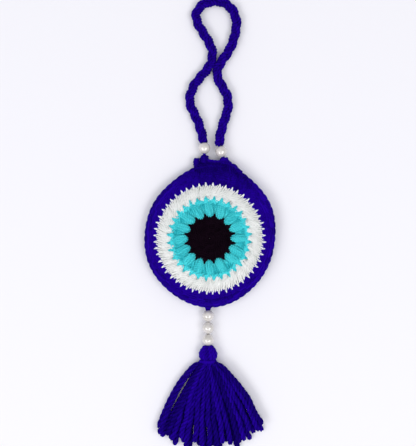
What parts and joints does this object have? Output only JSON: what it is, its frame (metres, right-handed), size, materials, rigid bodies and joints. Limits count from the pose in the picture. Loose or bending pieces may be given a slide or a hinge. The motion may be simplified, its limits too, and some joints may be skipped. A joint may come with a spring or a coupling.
{
  "type": "evil eye hanging ornament",
  "caption": "Padded crochet evil eye disc that hangs from a plaited yarn loop with pearl beads, and ends in a pearl bead string and a yarn tassel.",
  "frame": {"origin": "centre of the eye, on the flat back face that the ornament lies on", "axes": "+Y from the eye's centre towards the hanging loop, +Z out of the front of the eye, +X to the right seen from the front"},
  "size_m": [0.088, 0.3098, 0.0109],
  "materials": {
    "blue_yarn": "plied acrylic yarn, matt with a soft fuzz",
    "black_yarn": "plied acrylic yarn, matt",
    "turquoise_yarn": "plied acrylic yarn, matt",
    "white_yarn": "plied acrylic yarn, matt",
    "wadding": "loose polyester wadding",
    "thread": "sewing thread",
    "pearl": "pearl coating, glossy"
  },
  "bodies": {
    "eye": {"back_panel": "blue_yarn", "wadding_pad": "wadding", "pupil_round": "black_yarn", "iris_round": "turquoise_yarn", "white_round": "white_yarn", "border_round": "blue_yarn", "rim_chain": "blue_yarn", "tail_knot": "blue_yarn", "crossing_yarn": "blue_yarn"},
    "hanger": {"hanging_plait": "blue_yarn", "left_stem": "blue_yarn", "right_stem": "blue_yarn", "left_knot": "blue_yarn", "right_knot": "blue_yarn"},
    "left_bead": {"left_bead": "pearl"},
    "right_bead": {"right_bead": "pearl"},
    "eyelet": {"bottom_eyelet": "blue_yarn"},
    "bead_string": {"bead_thread": "thread", "tassel_tie": "thread"},
    "tassel_bead_1": {"tassel_bead_1": "pearl"},
    "tassel_bead_2": {"tassel_bead_2": "pearl"},
    "tassel_bead_3": {"tassel_bead_3": "pearl"},
    "tassel": {"tassel_bundle": "blue_yarn", "neck_wrap": "blue_yarn", "strand_01": "blue_yarn", "strand_02": "blue_yarn", "strand_03": "blue_yarn", "strand_04": "blue_yarn", "strand_05": "blue_yarn", "strand_06": "blue_yarn", "strand_07": "blue_yarn", "strand_08": "blue_yarn", "strand_09": "blue_yarn", "strand_10": "blue_yarn", "strand_11": "blue_yarn", "strand_12": "blue_yarn", "strand_13": "blue_yarn", "strand_14": "blue_yarn", "strand_15": "blue_yarn", "strand_16": "blue_yarn", "strand_17": "blue_yarn", "strand_18": "blue_yarn", "strand_19": "blue_yarn", "strand_20": "blue_yarn", "strand_21": "blue_yarn", "strand_22": "blue_yarn", "strand_23": "blue_yarn", "strand_24": "blue_yarn", "strand_25": "blue_yarn", "strand_26": "blue_yarn", "strand_27": "blue_yarn", "strand_28": "blue_yarn", "strand_29": "blue_yarn", "strand_30": "blue_yarn", "strand_31": "blue_yarn", "strand_32": "blue_yarn"}
  },
  "joints": [
    {"name": "hanger_fold", "type": "hinge", "parent": "eye", "child": "hanger", "pos_m": [0.003, 0.0523, 0.0042], "axis": [1, 0, 0], "range_deg": [0, 75]},
    {"name": "left_bead_spin", "type": "hinge", "parent": "hanger", "child": "left_bead", "pos_m": [-0.0035, 0.0614, 0.0042], "axis": [0.013, 0.9999, 0], "continuous": true},
    {"name": "right_bead_spin", "type": "hinge", "parent": "hanger", "child": "right_bead", "pos_m": [0.0078, 0.059, 0.0042], "axis": [-0.2974, 0.9548, 0], "continuous": true},
    {"name": "eyelet_fold", "type": "hinge", "parent": "eye", "child": "eyelet", "pos_m": [-0.001, -0.0471, 0.0042], "axis": [-1, 0, 0], "range_deg": [0, 60]},
    {"name": "string_swing", "type": "hinge", "parent": "eyelet", "child": "bead_string", "pos_m": [-0.001, -0.0477, 0.0042], "axis": [0, 0, 1], "range_deg": [-30, 30]},
    {"name": "tassel_bead_1_spin", "type": "hinge", "parent": "bead_string", "child": "tassel_bead_1", "pos_m": [-0.001, -0.0526, 0.0042], "axis": [0, 1, 0], "continuous": true},
    {"name": "tassel_bead_2_spin", "type": "hinge", "parent": "bead_string", "child": "tassel_bead_2", "pos_m": [-0.001, -0.0608, 0.0042], "axis": [0, 1, 0], "continuous": true},
    {"name": "tassel_bead_3_spin", "type": "hinge", "parent": "bead_string", "child": "tassel_bead_3", "pos_m": [-0.001, -0.069, 0.0042], "axis": [0, 1, 0], "continuous": true},
    {"name": "tassel_swing", "type": "hinge", "parent": "bead_string", "child": "tassel", "pos_m": [-0.001, -0.07345, 0.0042], "axis": [0, 0, 1], "range_deg": [-30, 30]}
  ]
}
